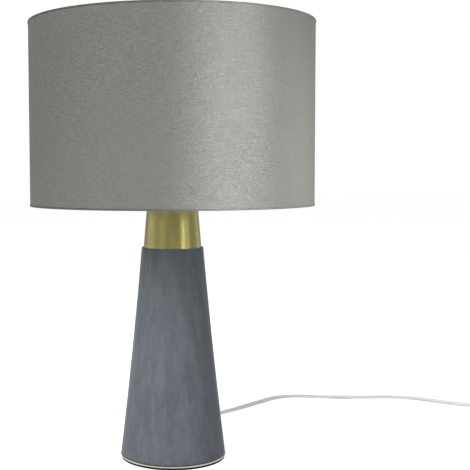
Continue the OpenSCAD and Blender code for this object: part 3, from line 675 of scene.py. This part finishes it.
SHADE_COLOUR = (0.112, 0.117, 0.097)
finishes = {
    "pad_foam": foam("pad_foam_black"),
    "zinc_steel": metal("zinc_plated_steel", (0.62, 0.63, 0.64), 0.32),
    "trim_metal": metal("champagne_trim", (0.92, 0.88, 0.76), 0.16, (30 * MM, 30 * MM, 0.2 * MM), 0.03),
    "cast_iron": cast_iron("sand_cast_iron"),
    "core_plastic": plastic("recycled_core", (0.05, 0.05, 0.055), 0.55, 1.4 * MM, 0.03 * MM),
    "velvet": velvet("grey_velvet"),
    "neck_brass": brushed_neck("spun_brass"),
    "lead_pvc": pvc("white_sheath", (0.84, 0.84, 0.81)),
    "brown_pvc": pvc("brown_core", (0.16, 0.07, 0.03)),
    "blue_pvc": pvc("blue_core", (0.04, 0.12, 0.42)),
    "holder_plastic": plastic("holder_white", (0.80, 0.79, 0.75), 0.3),
    "insert_ceramic": plastic("glazed_insert", (0.80, 0.78, 0.71), 0.14, 3 * MM, 0.02 * MM, Coat_Weight=0.5),
    "contact_brass": metal("stamped_brass", (0.72, 0.56, 0.24), 0.28, 1.4 * MM, 0.06, 0.08),
    "frame_paint": plastic("powder_coat", (0.82, 0.81, 0.78), 0.42, 0.6 * MM, 0.03 * MM),
    "liner_plastic": plastic("styrene_liner", (0.80, 0.79, 0.75), 0.5, 1.1 * MM, 0.02 * MM,
                             Subsurface_Weight=0.1, Subsurface_Scale=0.003),
    "shade_satin": satin("taupe_satin", SHADE_COLOUR),
    "bulb_nickel": metal("nickel_cap", (0.68, 0.69, 0.70), 0.22, (20 * MM, 20 * MM, 0.2 * MM)),
    "bulb_plastic": plastic("bulb_housing_white", (0.84, 0.84, 0.81), 0.34),
    "bulb_opal": opal("opal_globe"),
    "black_plastic": plastic("black_moulding", (0.02, 0.02, 0.022), 0.4),
    "circuit_board": board("driver_board_mask"),
    "board_white": plastic("led_board_mask", (0.80, 0.79, 0.75), 0.3, 1.6 * MM),
    "switch_plastic": plastic("switch_white", (0.83, 0.83, 0.81), 0.3),
    "plug_pvc": plastic("plug_white", (0.80, 0.80, 0.78), 0.42, 0.8 * MM, 0.02 * MM, Coat_Weight=0.1),
    "pin_nickel": metal("plug_pin_nickel", (0.72, 0.71, 0.67), 0.2, (0.25 * MM, 8 * MM, 8 * MM)),
}
for part in frame["record"]["subparts"]:
    for held in nodes[part["node"]].material_slots:
        held.material = finishes[part["material_slot"]]
soft_slots = ((supply, "lead_pvc"), (tail, "lead_pvc"), (velvet_cover, "velvet"), (fabric, "shade_satin"))
for made, slot in soft_slots:
    made.data.materials.append(finishes[slot])
# The hems are a darker copy of the shade's satin: painted shade along the folded rims.
hem_painted_shade_finish = satin("taupe_satin_fold_painted_shade", SHADE_COLOUR, 0.32)
for made in hems:
    made.data.materials.append(hem_painted_shade_finish)
strap_finish = strap("hook_and_loop")
for made in ties:
    made.data.materials.append(strap_finish)

# ---- floor and light ----

FLOOR_GLOW = 0.85
FLOOR_BOUNCE = 0.25
WORLD_MATT = 0.15
WORLD_GLOSS = 0.29
WARM = (1, 0.95, 0.88)
COOL = (0.92, 0.98, 1.1)
AIM_AT = (0, 0, 0.25)


def studio_floor():
    """A pale floor, brighter to the camera than in its light on the lamp, so that it meets the white."""
    mesh = bpy.data.meshes.new("floor")
    mesh.from_pydata([(-9, -9, 0), (9, -9, 0), (9, 9, 0), (-9, 9, 0)], [], [(0, 1, 2, 3)])
    floor = bpy.data.objects.new("floor", mesh)
    bpy.context.scene.collection.objects.link(floor)
    m = Finish("studio_white", 0.9, Specular_IOR_Level=0.0)
    m.paint(m.shades((0.88, 0.88, 0.88), (m.grain(0.4, 2), 0.01)))
    m.shader.inputs["Emission Color"].default_value = (1, 1, 1, 1)
    seen = m.node("ShaderNodeLightPath").outputs["Is Camera Ray"]
    m.feed(m.shader.inputs["Emission Strength"], m.between(seen, FLOOR_BOUNCE, FLOOR_GLOW, 0, 1))
    mesh.materials.append(m.material)


def softbox(name, azimuth, height, far, width, tall, power, lights, colour=(1, 1, 1), only=()):
    """A rectangular light aimed at the lamp's axis. Azimuth 0 is the camera's side and 90 the right.

    lights is "shape" for light on matt surfaces alone, or "gloss" for highlights alone. only lists the
    pieces that it falls on, where it doesn't fall on all.
    """
    light = bpy.data.lights.new(name, "AREA")
    light.shape, light.size, light.size_y = "RECTANGLE", width, tall
    light.energy, light.color = power, colour
    held = bpy.data.objects.new(name, light)
    bpy.context.scene.collection.objects.link(held)
    a = math.radians(azimuth)
    at = Vector((math.sin(a) * far, -math.cos(a) * far, height))
    held.location = at
    held.rotation_euler = (Vector(AIM_AT) - at).to_track_quat("-Z", "Y").to_euler()
    held.visible_camera = False
    held.visible_diffuse = lights != "gloss"
    held.visible_glossy = lights != "shape"
    if only:
        lit = bpy.data.collections.new(name + "_lights")
        for made in only:
            lit.objects.link(made)
        held.light_linking.receiver_collection = lit


def world_light(matt, gloss):
    """White behind everything, a soft grey on matt surfaces and a brighter one in reflections."""
    world = bpy.data.worlds.new("studio")
    world.use_nodes = True
    bpy.context.scene.world = world
    tree = world.node_tree
    path = tree.nodes.new("ShaderNodeLightPath")
    shown = tree.nodes["Background"]
    shown.inputs["Color"].default_value = (1, 1, 1, 1)
    shown.inputs["Strength"].default_value = matt
    shown = shown.outputs[0]
    for ray, strength in (("Is Glossy Ray", gloss), ("Is Camera Ray", 1.0)):
        sky = tree.nodes.new("ShaderNodeBackground")
        sky.inputs["Color"].default_value = (1, 1, 1, 1)
        sky.inputs["Strength"].default_value = strength
        either = tree.nodes.new("ShaderNodeMixShader")
        tree.links.new(path.outputs[ray], either.inputs[0])
        tree.links.new(shown, either.inputs[1])
        tree.links.new(sky.outputs[0], either.inputs[2])
        shown = either.outputs[0]
    tree.links.new(shown, tree.nodes["World Output"].inputs["Surface"])


studio_floor()
world_light(WORLD_MATT, WORLD_GLOSS)
cloth = [fabric] + hems
brass = [nodes["neck_cone"], nodes["trim_ring"]]
white_names = ("outlet_bush", "switch_base", "switch_cover", "switch_rocker", "plug_body")
white_parts = [supply, tail] + [nodes[n] for n in white_names]
softbox("key", -38, 1.35, 1.6, 0.9, 1.2, 29, "shape")
softbox("fill_right", 30, 1.35, 1.8, 1.0, 1.0, 6, "shape", COOL)
softbox("strip_right", 43, 0.35, 1.3, 0.22, 0.6, 8.2, "gloss", WARM, cloth)
softbox("side_right", 88, 0.3, 1.3, 0.4, 0.5, 2.4, "gloss", WARM, cloth)
softbox("rim_right", 120, 0.3, 1.3, 0.5, 0.5, 1.9, "gloss", WARM, cloth)
softbox("cloth_front", 0, 0.5, 2.2, 2.4, 1.2, 1.2, "gloss", only=cloth)
softbox("brass_left", -100, 0.46, 1.3, 1.2, 0.88, 0.83, "gloss", only=brass)
softbox("brass_front", -45, 0.46, 1.3, 0.9, 0.88, 0.3, "gloss", only=brass)
softbox("brass_right", 52, 0.46, 1.3, 0.95, 0.88, 0.9, "gloss", only=brass)
softbox("brass_rim", 124, 0.46, 1.3, 0.6, 0.88, 0.38, "gloss", only=brass)
softbox("brass_spark", 45, 0.42, 1.3, 0.09, 0.26, 0.14, "gloss", only=brass)
softbox("lead_fill", 5, 1.6, 1.6, 1.0, 1.0, 27, "shape", only=white_parts)
bpy.context.scene.view_settings.view_transform = "Standard"
